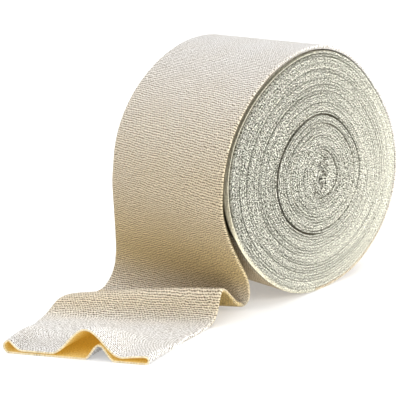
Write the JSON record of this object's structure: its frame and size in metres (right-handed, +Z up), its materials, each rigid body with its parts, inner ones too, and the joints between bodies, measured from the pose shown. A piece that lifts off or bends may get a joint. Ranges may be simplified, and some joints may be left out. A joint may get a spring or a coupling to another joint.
{
  "type": "tubular bandage roll",
  "caption": "Flattened knitted tube wound into a soft roll that lies on its side, its loose end hanging down the front and running along the floor to an open, wavy mouth.",
  "frame": {"origin": "middle of the flat spot that the roll rests on, on the floor", "axes": "+X along the roll's axis, towards the end face on the right of the loose end; -Y the way that the loose end leaves the roll; +Z up"},
  "size_m": [0.095, 0.2667, 0.1481],
  "materials": {
    "wound_knit": "matt knitted cotton and elastic seen from its folded side edges, cream with grey-green shadows between the turns",
    "loose_knit": "matt unbleached cotton knit, cream, with fine courses across the width"
  },
  "bodies": {
    "root": {"roll": "wound_knit", "loose_end": "loose_knit"}
  },
  "joints": []
}
